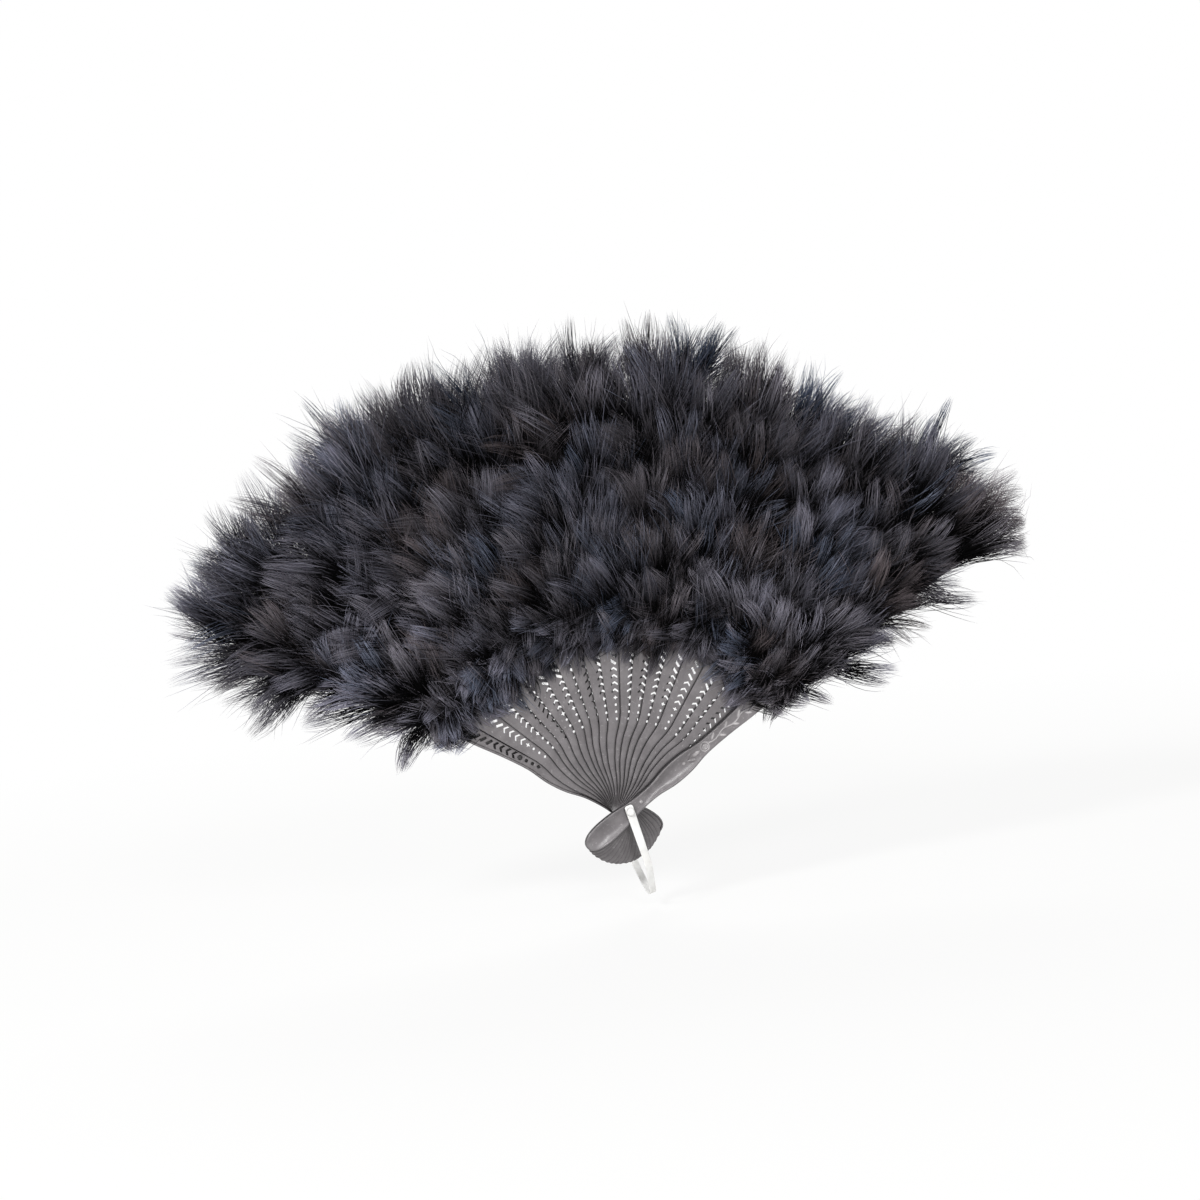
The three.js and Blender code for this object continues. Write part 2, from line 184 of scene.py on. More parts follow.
# pale studio: a white floor that keeps a soft shadow, white behind, four soft lamps
studio = {
    "floorDrop": 0.008,     # metres under the lowest point of the fan
    "floorSize": 60,
    "floorColour": "#f4f4f2",
    "floorGlow": 0.86,      # share of the floor that shows as plain white to the camera
    "shadowReach": 1.0,     # metres from the fan at which the floor is all plain white
    "ambient": 0.14,
    "aim": (0, 0, 0.12),    # point that the lamps face
    "lamps": [              # place, watts, width in metres
        ((-1.8, -1.25, 1.5), 46, 0.5),
        ((-0.2, -1.95, 1.15), 16, 0.5),
        ((1.4, -1.3, 0.6), 6, 1.1),
        ((0.3, 1.5, 1.3), 19, 1.2),
    ],
}


def seenDirectly(tree):
    path = addNode(tree, "ShaderNodeLightPath")
    shiny = addNode(tree, "ShaderNodeMath", {"operation": "MAXIMUM"}, None,
                    {0: path.outputs["Is Glossy Ray"], 1: path.outputs["Is Transmission Ray"]})
    seen = addNode(tree, "ShaderNodeMath", {"operation": "MAXIMUM"}, None,
                   {0: path.outputs["Is Camera Ray"], 1: shiny.outputs[0]})
    return seen.outputs[0]


def makeStudio(v):
    world = bpy.data.worlds.new("studio")
    scene.world = world
    world.use_nodes = True
    tree = world.node_tree
    tree.nodes.clear()
    soft = addNode(tree, "ShaderNodeBackground", None, {"Color": plainWhite, "Strength": v["ambient"]})
    white = addNode(tree, "ShaderNodeBackground", None, {"Color": plainWhite, "Strength": 1})
    mix = addNode(tree, "ShaderNodeMixShader", None, None,
                  {0: seenDirectly(tree), 1: soft.outputs[0], 2: white.outputs[0]})
    addNode(tree, "ShaderNodeOutputWorld", None, None, {0: mix.outputs[0]})

    # matt white paper sweep
    paper, tree = newMaterial("whitePaperSweep")
    matt = addNode(tree, "ShaderNodeBsdfDiffuse", None, {"Color": linear(v["floorColour"])})
    glow = addNode(tree, "ShaderNodeEmission", None, {"Color": plainWhite, "Strength": 1})
    place = addNode(tree, "ShaderNodeTexCoord").outputs["Object"]
    away = addNode(tree, "ShaderNodeVectorMath", {"operation": "LENGTH"}, None, {0: place})
    plain = addNode(tree, "ShaderNodeMapRange", None,
                    {"From Min": v["shadowReach"] / 2, "From Max": v["shadowReach"],
                     "To Min": v["floorGlow"], "To Max": 1}, {"Value": away.outputs["Value"]})
    share = addNode(tree, "ShaderNodeMath", {"operation": "MULTIPLY"}, None,
                    {0: seenDirectly(tree), 1: plain.outputs[0]})
    mix = addNode(tree, "ShaderNodeMixShader", None, None,
                  {0: share.outputs[0], 1: matt.outputs[0], 2: glow.outputs[0]})
    addNode(tree, "ShaderNodeOutputMaterial", None, None, {0: mix.outputs[0]})
    half, level = v["floorSize"] / 2, cadBox[0].z - v["floorDrop"]
    corners = [(-half, -half, level), (half, -half, level), (half, half, level), (-half, half, level)]
    mesh = bpy.data.meshes.new("floor")
    mesh.from_pydata(corners, [], [(0, 1, 2, 3)])
    mesh.materials.append(paper)
    floor = bpy.data.objects.new("floor", mesh)
    scene.collection.objects.link(floor)

    aim = Vector(v["aim"])
    for place, watts, width in v["lamps"]:
        data = bpy.data.lights.new("softbox", "AREA")
        data.energy, data.size = watts, width
        lamp = bpy.data.objects.new("softbox", data)
        scene.collection.objects.link(lamp)
        lamp.location = place
        lamp.rotation_euler = (aim - Vector(place)).to_track_quat("-Z", "Y").to_euler()


makeStudio(studio)
print("studio set")

# satin ABS of the staves, injection moulded: an even mid grey with a soft sheen,
# faint flow clouds, fine grain, paler rubbed spots and relief, painted shade where staves meet and in
# crevices, and near black along the guards' edges
greyPlastic = {
    "grey": "#7a7678",
    "flowGrey": "#6c686a",
    "rubbed": "#c2bebf",
    "paintedShade": "#211f20",
    "paintedShadeReach": 0.0025,    # metres from the next stave's edge
    "paintedShadeFrom": (0.58, 0.8),        # share of open sky where the painted shade is full and where it ends
    "edge": "#2a2829",
    "flowSize": 0.009,      # metres across one cloud
    "flowFrom": (0.38, 0.62),       # noise from which a spot is the one grey or the other
    "rubSize": 0.0016,
    "rubFrom": (0.6, 0.74),
    "rubMost": 0.5,
    "reliefFrom": (0.35, 0.6),      # relief is rubbed pale in patches
    "reliefMost": 0.95,
    "grain": 0.0007,        # real grain is finer, drawn coarse enough to show
    "grainDepth": 0.0001,
    "grainStrength": 0.12,
    "roughness": (0.22, 0.4),
    "ior": 1.53,
}


def makeGreyPlastic(v):
    material, tree = newMaterial("satinGreyABS")
    place = addNode(tree, "ShaderNodeTexCoord").outputs["Object"]
    flow = addNode(tree, "ShaderNodeTexNoise", None,
                   {"Scale": 1 / v["flowSize"], "Detail": 3, "Roughness": 0.6}, {"Vector": place})
    clouds = addNode(tree, "ShaderNodeValToRGB", None, None, {0: flow.outputs["Fac"]})
    rampStops(clouds, zip(v["flowFrom"], (v["flowGrey"], v["grey"])))
    rub = addNode(tree, "ShaderNodeTexNoise", None,
                  {"Scale": 1 / v["rubSize"], "Detail": 4, "Roughness": 0.7}, {"Vector": place})
    low, high = v["rubFrom"]
    spots = addNode(tree, "ShaderNodeMapRange", None,
                    {"From Min": low, "From Max": high, "To Max": v["rubMost"]},
                    {"Value": rub.outputs["Fac"]})
    relief = addNode(tree, "ShaderNodeAttribute", {"attribute_name": "relief"}).outputs["Fac"]
    low, high = v["reliefFrom"]
    patchy = addNode(tree, "ShaderNodeMapRange", None,
                     {"From Min": low, "From Max": high, "To Max": v["reliefMost"]},
                     {"Value": flow.outputs["Fac"]})
    raised = addNode(tree, "ShaderNodeMath", {"operation": "MULTIPLY"}, None,
                     {0: relief, 1: patchy.outputs[0]})
    wear = addNode(tree, "ShaderNodeMath", {"operation": "MAXIMUM"}, None,
                   {0: spots.outputs[0], 1: raised.outputs[0]})
    worn = addNode(tree, "ShaderNodeMix", {"data_type": "RGBA"}, {7: linear(v["rubbed"])},
                   {0: wear.outputs[0], 6: clouds.outputs[0]})
    # painted shade: the colour goes darker where the AO node finds faces near, between staves and in their
    # crevices
    nook = addNode(tree, "ShaderNodeAmbientOcclusion", {"samples": 8}, {"Distance": v["paintedShadeReach"]})
    low, high = v["paintedShadeFrom"]
    unshaded = addNode(tree, "ShaderNodeMapRange", None, {"From Min": low, "From Max": high},
                    {"Value": nook.outputs["AO"]})
    edge = addNode(tree, "ShaderNodeAttribute", {"attribute_name": "edge"}).outputs["Fac"]
    edged = addNode(tree, "ShaderNodeMix", {"data_type": "RGBA"}, {7: linear(v["edge"])},
                    {0: edge, 6: worn.outputs[2]})
    colour = addNode(tree, "ShaderNodeMix", {"data_type": "RGBA"}, {6: linear(v["paintedShade"])},
                     {0: unshaded.outputs[0], 7: edged.outputs[2]})
    grain = addNode(tree, "ShaderNodeTexNoise", None,
                    {"Scale": 1 / v["grain"], "Detail": 2}, {"Vector": place})
    smoothest, roughest = v["roughness"]
    rough = addNode(tree, "ShaderNodeMapRange", None, {"To Min": smoothest, "To Max": roughest},
                    {"Value": rub.outputs["Fac"]})
    bump = addNode(tree, "ShaderNodeBump", None,
                   {"Strength": v["grainStrength"], "Distance": v["grainDepth"]},
                   {"Height": grain.outputs["Fac"]})
    shader = addNode(tree, "ShaderNodeBsdfPrincipled", None, {"IOR": v["ior"]},
                     {"Base Color": colour.outputs[2], "Roughness": rough.outputs[0],
                      "Normal": bump.outputs[0]})
    addNode(tree, "ShaderNodeOutputMaterial", None, None, {0: shader.outputs[0]})
    return material


# polypropylene of the loop, pin and cap: bright white, waxy, slightly cloudy, with painted shade in grey
# where other faces are near
whitePlastic = {
    "white": "#fbfbfa",
    "cloud": "#ecebe9",
    "paintedShade": "#7d7b79",
    "paintedShadeReach": 0.0007,
    "paintedShadeFrom": (0.3, 0.9),
    "cloudSize": 0.012,
    "cloudFrom": (0.35, 0.6),
    "roughness": (0.32, 0.46),
    "ior": 1.49,
}


def makeWhitePlastic(v):
    material, tree = newMaterial("waxyWhitePolypropylene")
    place = addNode(tree, "ShaderNodeTexCoord").outputs["Object"]
    cloud = addNode(tree, "ShaderNodeTexNoise", None,
                    {"Scale": 1 / v["cloudSize"], "Detail": 3}, {"Vector": place})
    colour = addNode(tree, "ShaderNodeValToRGB", None, None, {0: cloud.outputs["Fac"]})
    rampStops(colour, zip(v["cloudFrom"], (v["cloud"], v["white"])))
    # painted shade: the white goes grey where the AO node finds faces near
    nook = addNode(tree, "ShaderNodeAmbientOcclusion", {"samples": 8}, {"Distance": v["paintedShadeReach"]})
    low, high = v["paintedShadeFrom"]
    unshaded = addNode(tree, "ShaderNodeMapRange", None, {"From Min": low, "From Max": high},
                    {"Value": nook.outputs["AO"]})
    shadedWhite = addNode(tree, "ShaderNodeMix", {"data_type": "RGBA"}, {6: linear(v["paintedShade"])},
                    {0: unshaded.outputs[0], 7: colour.outputs[0]})
    smoothest, roughest = v["roughness"]
    rough = addNode(tree, "ShaderNodeMapRange", None, {"To Min": smoothest, "To Max": roughest},
                    {"Value": cloud.outputs["Fac"]})
    shader = addNode(tree, "ShaderNodeBsdfPrincipled", None, {"IOR": v["ior"]},
                     {"Base Color": shadedWhite.outputs[2], "Roughness": rough.outputs[0]})
    addNode(tree, "ShaderNodeOutputMaterial", None, None, {0: shader.outputs[0]})
    return material


# dyed down: matt strands in charcoal, browner in some places and bluer in others;
# the light attribute paints shade and light on the dye, near black at the quill and paler towards their ends
dyedDownPaintedShade = {
    "tones": [(0.0, "#675f61"), (0.35, "#75727a"), (0.6, "#7a7986"), (0.85, "#6e7485"), (1.0, "#626c82")],
    "roughness": 0.85,
    "gloss": 0.04,
    "ior": 1.5,
}


def makeDyedDownPaintedShade(v):
    material, tree = newMaterial("dyedDownPaintedShade")
    tone = addNode(tree, "ShaderNodeAttribute", {"attribute_name": "tone"}).outputs["Fac"]
    light = addNode(tree, "ShaderNodeAttribute", {"attribute_name": "light"}).outputs["Fac"]
    dye = addNode(tree, "ShaderNodeValToRGB", None, None, {0: tone})
    rampStops(dye, v["tones"])
    # the light attribute scales the dye: painted light and shade, with some random spread
    colour = addNode(tree, "ShaderNodeVectorMath", {"operation": "SCALE"}, None,
                     {0: dye.outputs[0], "Scale": light})
    shader = addNode(tree, "ShaderNodeBsdfPrincipled", None,
                     {"Roughness": v["roughness"], "IOR": v["ior"], "Specular IOR Level": v["gloss"]},
                     {"Base Color": colour.outputs[0]})
    addNode(tree, "ShaderNodeOutputMaterial", None, None, {0: shader.outputs[0]})
    return material


# spun polyester of the linking cord: dull near-black with a fine twist
cordThread = {
    "dark": "#232225",
    "light": "#3a393d",
    "shadeFrom": (0.3, 0.7),
    "twist": 0.0006,        # metres from strand to strand
    "roughness": 0.85,
    "ior": 1.5,
}


def makeCordThread(v):
    material, tree = newMaterial("spunBlackThread")
    place = addNode(tree, "ShaderNodeTexCoord").outputs["Object"]
    strands = addNode(tree, "ShaderNodeTexNoise", None,
                      {"Scale": 1 / v["twist"], "Detail": 2}, {"Vector": place})
    colour = addNode(tree, "ShaderNodeValToRGB", None, None, {0: strands.outputs["Fac"]})
    rampStops(colour, zip(v["shadeFrom"], (v["dark"], v["light"])))
    shader = addNode(tree, "ShaderNodeBsdfPrincipled", None, {"Roughness": v["roughness"], "IOR": v["ior"]},
                     {"Base Color": colour.outputs[0]})
    addNode(tree, "ShaderNodeOutputMaterial", None, None, {0: shader.outputs[0]})
    return material


grey = makeGreyPlastic(greyPlastic)
white = makeWhitePlastic(whitePlastic)
down = makeDyedDownPaintedShade(dyedDownPaintedShade)
thread = makeCordThread(cordThread)
print("materials made")

# the moulded pieces keep their CAD form, with edges broken as a mould leaves them
mouldedEdges = {
    "staves": 0.00018,  # metres across the broken edge
    "small": 0.00012,
    "steps": 2,
    "weld": 1e-6,       # metres between points that are joined
    "sharpest": 35,     # degrees between faces that count as an edge
}


def finishMoulding(piece, material, edge):
    piece.data.materials.clear()
    piece.data.materials.append(material)
    weld = piece.modifiers.new("weld", "WELD")
    weld.merge_threshold = mouldedEdges["weld"]
    bevel = piece.modifiers.new("edge", "BEVEL")
    bevel.width = edge
    bevel.segments = mouldedEdges["steps"]
    bevel.limit_method = "ANGLE"
    bevel.angle_limit = math.radians(mouldedEdges["sharpest"])
    bevel.harden_normals = True


for name, node in frame["nodes"].items():
    if name.startswith("stick_"):
        finishMoulding(node, grey, mouldedEdges["staves"])
    elif name in ("pivot_pin", "pin_cap"):
        finishMoulding(node, white, mouldedEdges["small"])
print("mouldings finished")

# where each stave lies: its open angle from the upright, and the middle of its layer
jointEnd = {j["name"]: j["range_deg"][1] for j in frame["joints"]}
spread = jointEnd["fan_fold"]
stickNames = sorted(n for n in frame["nodes"] if n.startswith("stick_"))


def layerOf(node):
    low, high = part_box(node)
    return (low.y + high.y) / 2


def newStave(body, plume, angle):
    return {"body": body, "plume": plume, "angle": angle, "layer": layerOf(body)}


staves = [newStave("front_guard", "front_guard_plume", spread / 2)]
for name in stickNames:
    turned = spread / 2 - jointEnd[name + "_turn"]
    staves.append(newStave(name, name.replace("stick", "plume"), turned))
staves.append(newStave("back_guard", "back_guard_plume", -spread / 2))


def staveDirections(angle):
    # along a stave away from the pivot, and across it towards the right
    phi = math.radians(angle)
    return np.array([math.sin(phi), 0, math.cos(phi)]), np.array([math.cos(phi), 0, -math.sin(phi)])


# the pivot hole, bored through every piece made here that sits on the pin
pivotBore = {"radius": 0.00185, "sides": 32, "long": 0.08}


def borePivot(piece):
    v = pivotBore
    around = np.linspace(0, 2 * math.pi, v["sides"], endpoint=False)
    rims = [[v["radius"] * math.cos(a), y, v["radius"] * math.sin(a)]
            for y in (-v["long"] / 2, v["long"] / 2) for a in around]
    mesh = bpy.data.meshes.new("bore")
    mesh.from_pydata(rims, [], tubeFaces(2, v["sides"]))
    bore = bpy.data.objects.new("bore", mesh)
    scene.collection.objects.link(bore)
    cut = piece.modifiers.new("bore", "BOOLEAN")
    cut.object = bore
    cut.solver = "EXACT"
    solid = piece.evaluated_get(bpy.context.evaluated_depsgraph_get())
    plain, piece.data = piece.data, bpy.data.meshes.new_from_object(solid)
    piece.modifiers.remove(cut)
    bpy.data.objects.remove(bore)
    bpy.data.meshes.remove(plain)
    bpy.data.meshes.remove(mesh)


def outwardFaces(mesh):
    work = bmesh.new()
    work.from_mesh(mesh)
    bmesh.ops.recalc_face_normals(work, faces=work.faces)
    work.to_mesh(mesh)
    work.free()


# the guards: a raised rim round a hollow face, a vine in low relief on the blade; the back guard's
# inner face repeats the sticks' piercings as blind hollows
guardForm = {
    "tail": [(0, -32), (5.16, -32), (6.7, -25), (6.7, -18)],      # curve of half the tail, mm
    # half width, mm up the guard
    "outline": [(6.7, -18), (4.05, 13), (6.35, 37), (4.15, 62), (5.5, 104), (3.0, 109)],
    "tip": (2.25, 200),
    "edge": 1.9,            # mm thick at the very edge
    "top": 2.6,             # mm thick along the rim
    "rim": (0.6, 1.1),      # mm in from the edge: top of the rim, start of the hollow
    "blackEdge": 0.45,      # mm in from the edge that is coloured near black
    # mm up the guard, mm that its face is hollow
    "hollow": [(-32, 0.2), (-27, 1.2), (-18, 2.0), (-8, 1.5), (-2, 0.6), (9, 0.5), (16, 1.3), (26, 2.0),
               (38, 2.0), (47, 1.5), (54, 0.5), (62, 0.35), (104, 0.35), (112, 0)],
    "leastHollow": 0.1,     # mm, narrowest half of the hollow
    "rib": [(108, 2.6), (120, 1.2)],    # mm up the guard, mm thick where the feathers are tied on
    "rowStep": 0.4,         # mm from one row of points to the next
    "tailRows": (14, 6),    # rows that close up towards the tail's end, and mm that they take
    "pastShoulder": 2,      # mm that the fine rows go on past the shoulder
    "ribRows": 24,
    "columns": 57,
    "curveSteps": 33,
    "sharpest": 50,         # degrees between faces that still look smooth
    "lines": (0.32, 0.3),   # mm, half the width of the relief's lines, their height
    "lineSteps": 160,
    "ring": (57.5, 2.6),    # mm up the guard, radius
    "coil": (1.7, 0.25, 1.6),       # radius where it starts and ends, turns
    "stem": (61, 102, 0.8, 15),     # from, to, sway, length of one sway
    # mm aside, mm up, half the length, half the width, degrees of lean
    "leaves": [(0, 50.5, 3.2, 1.0, 0), (1.5, 46.5, 2.6, 0.8, 28), (-1.5, 46.5, 2.6, 0.8, -28),
               (0, 42, 1.0, 0.8, 0)],
    "stemLeaf": (1.7, 2.3, 0.75, 38),   # mm aside, half its length, half its width, degrees it leans
    "stemLeafStep": 5.0,
    "stemLeafEnds": (4, 1),     # mm of bare stem below the first leaf, and left above the last
    "leafHigh": 0.34,
    "boss": (8.6, 1.0, 0.5),        # mm up the guard, radius, height
    "blind": {"first": 52, "step": 4.1, "rows": "dddscccclll", "deep": 1.2, "soft": 0.25,
              "dot": 1.0, "star": 1.5, "chevron": (2.1, 1.5, 0.7), "slot": (2.1, 0.75, -38)},
    "groove": (1.3, 0.25, 0.4),     # mm in from the edge, half its width, depth
}


def guardOutline(v):
    t = np.linspace(0, 1, v["curveSteps"])[:, None]
    p = [np.array(c) for c in v["tail"]]
    pieces = [p[0] * (1 - t) ** 3 + p[1] * 3 * t * (1 - t) ** 2 + p[2] * 3 * t ** 2 * (1 - t) + p[3] * t ** 3]
    for (wide, low), (nextWide, high) in zip(v["outline"], v["outline"][1:]):
        up = 1.5 * t * (1 - t) + t ** 3
        over = 3 * t ** 2 - 2 * t ** 3
        pieces.append(np.concatenate([wide + (nextWide - wide) * over, low + (high - low) * up], 1))
    pieces.append(np.array([v["tip"]]))
    return np.concatenate(pieces)


def guardRelief(v, x, z):
    t = np.linspace(0, 1, v["lineSteps"])
    up, radius = v["ring"]
    start, end, turns = v["coil"]
    low, high, sway, wave = v["stem"]
    coil = start + (end - start) * t
    rows = low + (high - low) * t
    lines = np.concatenate([
        np.stack([radius * np.sin(2 * math.pi * t), up + radius * np.cos(2 * math.pi * t)], 1),
        np.stack([coil * np.sin(2 * math.pi * turns * t), up + coil * np.cos(2 * math.pi * turns * t)], 1),
        np.stack([sway * np.sin(2 * math.pi * (rows - low) / wave), rows], 1),
    ])
    near = np.full(x.shape, np.inf)
    for lineX, lineZ in lines:
        near = np.minimum(near, (x - lineX) ** 2 + (z - lineZ) ** 2)
    wide, tall = v["lines"]
    relief = tall * np.exp(-near / wide ** 2)
    leaves = list(v["leaves"])
    aside, long, half, lean = v["stemLeaf"]
    bare, left = v["stemLeafEnds"]
    for k, place in enumerate(np.arange(low + bare, high - left, v["stemLeafStep"])):
        hand = 1 if k % 2 else -1
        leaves.append((hand * aside, place, long, half, hand * lean))
    for leafX, leafZ, long, half, lean in leaves:
        c, n = math.cos(math.radians(lean)), math.sin(math.radians(lean))
        alongLeaf = (x - leafX) * n + (z - leafZ) * c
        acrossLeaf = (x - leafX) * c - (z - leafZ) * n
        dome = 1 - (alongLeaf / long) ** 2 - (acrossLeaf / half) ** 2
        relief = np.maximum(relief, v["leafHigh"] * np.sqrt(dome.clip(0)))
    up, radius, tall = v["boss"]
    dome = 1 - (x ** 2 + (z - up) ** 2) / radius ** 2
    return np.maximum(relief, tall * np.sqrt(dome.clip(0)))


def blindPiercings(v, x, z):
    # mm that the inner face is sunk: dots, a star, chevrons and slots, as on the sticks
    sunk = np.zeros_like(x)
    for row, kind in enumerate(v["rows"]):
        up = z - v["first"] - row * v["step"]
        if kind in "ds":
            within = v["dot" if kind == "d" else "star"] - np.hypot(x, up)
        elif kind == "c":
            half, rise, band = v["chevron"]
            within = np.minimum(half - np.abs(x), band - np.abs(up - rise / 2 + rise * np.abs(x) / half))
        else:
            half, band, slant = v["slot"]
            c, n = math.cos(math.radians(slant)), math.sin(math.radians(slant))
            within = np.minimum(half - np.abs(x * c + up * n), band - np.abs(up * c - x * n))
        sunk = np.maximum(sunk, v["deep"] * (within / v["soft"]).clip(0, 1))
    return sunk


def makeGuard(name, angle, front):
    v = guardForm
    outline = guardOutline(v)
    low, shoulder, tip = v["tail"][0][1], v["outline"][-1][1] + v["pastShoulder"], v["tip"][1]
    tailCount, tailReach = v["tailRows"]
    tailRows = low + np.linspace(0, 1, tailCount) ** 2 * tailReach
    rows = np.concatenate([tailRows[1:], np.arange(tailRows[-1] + v["rowStep"], shoulder, v["rowStep"]),
                           np.linspace(shoulder, tip, v["ribRows"])])
    half = np.interp(rows, outline[:, 1], outline[:, 0])[:, None]
    x = half * np.linspace(-1, 1, v["columns"])
    z = np.repeat(rows[:, None], v["columns"], 1)
    inside = np.minimum(half - np.abs(x), z - low)
    rimTop, rimEnd = v["rim"]
    rim = v["top"] - (v["top"] - v["edge"]) * (1 - (inside / rimTop).clip(0, 1)) ** 2
    bowl = 1 - (1 - ((inside - rimEnd) / np.maximum(half - rimEnd, v["leastHollow"])).clip(0, 1)) ** 2
    relief = guardRelief(v, x, z)
    deep = rim - bowl * curve(z, v["hollow"]) + relief
    deep = np.where(z > v["rib"][0][0], np.minimum(deep, curve(z, v["rib"])), deep)
    grooveIn, grooveWide, grooveDeep = v["groove"]
    sunk = grooveDeep * np.exp(-((inside - grooveIn) / grooveWide) ** 2) * (z < shoulder)
    sunk = np.zeros_like(x) if front else np.maximum(sunk, blindPiercings(v["blind"], x, z))
    outward, aside = staveDirections(angle)
    lowCorner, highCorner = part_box(name)
    level, towards = (highCorner.y * perMetre, -1) if front else (lowCorner.y * perMetre, 1)
    flat = x[..., None] * aside + z[..., None] * outward
    layers = [flat + np.array([0, 1, 0]) * (level + towards * d)[..., None] for d in (deep, sunk)]
    points = np.concatenate([layer.reshape(-1, 3) for layer in layers]) / perMetre
    count, columns = x.shape
    inner = count * columns
    faces = []
    for j in range(count - 1):
        left, right = j * columns, (j + 1) * columns - 1
        for k in range(left, right):
            faces.append([k, k + 1, k + columns + 1, k + columns])
            faces.append([inner + k, inner + k + columns, inner + k + columns + 1, inner + k + 1])
        faces.append([left, left + columns, inner + left + columns, inner + left])
        faces.append([right, inner + right, inner + right + columns, right + columns])
    for first in (0, inner - columns):
        faces += [[k, inner + k, inner + k + 1, k + 1] for k in range(first, first + columns - 1)]
    piece = addMesh(name + "_moulding", points.tolist(), faces, grey, name)
    raised = np.concatenate([relief.ravel() / v["leafHigh"], np.zeros(inner)]).clip(0, 1)
    black = np.tile((1 - inside / v["blackEdge"]).clip(0, 1).ravel(), 2)
    storeValues(piece.data, {"relief": raised, "edge": black})
    outwardFaces(piece.data)
    borePivot(piece)
    smoothFaces(piece.data)
    piece.data.set_sharp_from_angle(angle=math.radians(v["sharpest"]))
    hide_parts(name)


makeGuard("front_guard", staves[0]["angle"], True)
makeGuard("back_guard", staves[-1]["angle"], False)
print("guards moulded")

# the hanging loop: one flat strip bent to a hairpin round the tails, with both ends on the pin
loopStrip = {
    "side": 16.625,         # mm from the middle of the stack to the strip
    "end": 4,               # mm over the pivot
    "endCorner": 1.3,
    "endSteps": [0, 0.06, 0.2, 0.42, 0.7, 1],       # rings down the corner, as shares of it
    "legFrom": 1,           # mm over the pivot where the even rings start
    "steps": {"leg": 14, "knee": 12, "slant": 6, "nose": 12},
    "knee": (-33, 5),       # height, and how far its round reaches
    "nose": (-44.5, 8.0),   # height of the middle, radius
    "halfWidth": [(-52.5, 1.9), (0, 2.5)],
    "leastHalf": 0.05,      # mm, half width that the ends keep
    "section": [(0, 0.5), (0.12, 0.47), (0.24, 0.38), (0.3, 0.22)],     # round of one corner, mm
    "lean": 14,             # degrees off plumb
}


def loopSide(v):
    # one side of the strip from its end down to the nose: mm from the middle of the stack, height
    steps = v["steps"]
    high, radius = v["nose"]
    knee = np.array([v["side"], v["knee"][0]])
    rise = knee[1] - high
    touch = math.atan2(rise, knee[0]) - math.acos(radius / math.hypot(knee[0], rise))
    arc = touch + (-math.pi / 2 - touch) * np.linspace(0, 1, steps["nose"])
    nose = np.stack([radius * np.cos(arc), high + radius * np.sin(arc)], 1)
    slope = unit(nose[0] - knee)
    into, out = knee + np.array([0, v["knee"][1]]), knee + slope * v["knee"][1]
    t = np.linspace(0, 1, steps["knee"])[:, None]
    bend = into * (1 - t) ** 2 + knee * 2 * t * (1 - t) + out * t ** 2
    fine = v["endCorner"] * np.array(v["endSteps"])
    heights = np.concatenate([v["end"] - fine, np.linspace(v["legFrom"], into[1], steps["leg"])[:-1]])
    straight = np.stack([np.full(len(heights), v["side"]), heights], 1)
    slant = out + (nose[0] - out) * np.linspace(0, 1, steps["slant"])[1:-1, None]
    return np.concatenate([straight, bend, slant, nose])


def makeLoop(v):
    side = loopSide(v)
    path = np.concatenate([side * [-1, 1], side[-2::-1]])
    half = curve(path[:, 1], v["halfWidth"])
    fromEnd = np.minimum(v["end"] - path[:, 1], v["endCorner"])
    half = half - v["endCorner"] + np.sqrt(v["endCorner"] ** 2 - (v["endCorner"] - fromEnd) ** 2)
    tangent = unit(np.gradient(path, axis=0))
    normal = np.stack([tangent[:, 1], -tangent[:, 0]], 1)
    inset, off = (np.array(c) for c in zip(*v["section"]))
    inset = inset[-1] - inset
    c, n = math.cos(math.radians(v["lean"])), math.sin(math.radians(v["lean"]))
    points = []
    for (y, z), (ny, nz), w in zip(path, normal, half):
        edge = np.stack([np.maximum(w - inset, v["leastHalf"]), off], 1)
        ring = np.concatenate([edge, edge[::-1] * [1, -1], edge * [-1, -1], edge[::-1] * [-1, 1]])
        for x, d in ring:
            up = z + d * nz
            points.append((x * c - up * n, y + d * ny, x * n + up * c))
    faces = tubeFaces(len(path), 4 * len(off))
    points = (np.array(points) / perMetre).tolist()
    piece = addMesh("loop_strip", points, faces, white, "hanging_loop")
    outwardFaces(piece.data)
    borePivot(piece)
    smoothFaces(piece.data)
    piece.data.set_sharp_from_angle(angle=math.radians(mouldedEdges["sharpest"]))
    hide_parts("hanging_loop")


makeLoop(loopStrip)
print("loop bent")

# the linking cord: two plies twisted, glued behind every stave, one span from each stave to the next
linkingCord = {
    "radius": 110,          # mm from the pivot
    "lift": 0.9,            # mm behind a stave's back face
    "clear": (2.8, 3.8),    # mm past the last stick's rib and the back guard's rib
    "ply": 0.23,            # mm, radius of one ply
    "twist": 2.4,           # mm for one turn
    "perTwist": 7,          # rings for one turn
    "fewestRings": 8,
    "sides": 5,
    "keepWhenClosed": 0.05,
}


def cordSpan(v, index):
    def at(angle, y):
        return staveDirections(angle)[0] * v["radius"] + np.array([0, y, 0])

    here, after = staves[index], staves[index + 1]
    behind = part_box(here["body"])[1].y * perMetre + v["lift"]
    if index + 2 < len(staves):
        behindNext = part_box(after["body"])[1].y * perMetre + v["lift"]
        return np.array([at(here["angle"], behind), at(after["angle"], behindNext)])
    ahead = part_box(after["body"])[0].y * perMetre - v["lift"]
    past = [math.degrees(c / v["radius"]) for c in v["clear"]]
    return np.array([at(here["angle"], behind), at(here["angle"] - past[0], behind),
                     at(after["angle"] + past[1], ahead), at(after["angle"], ahead)])


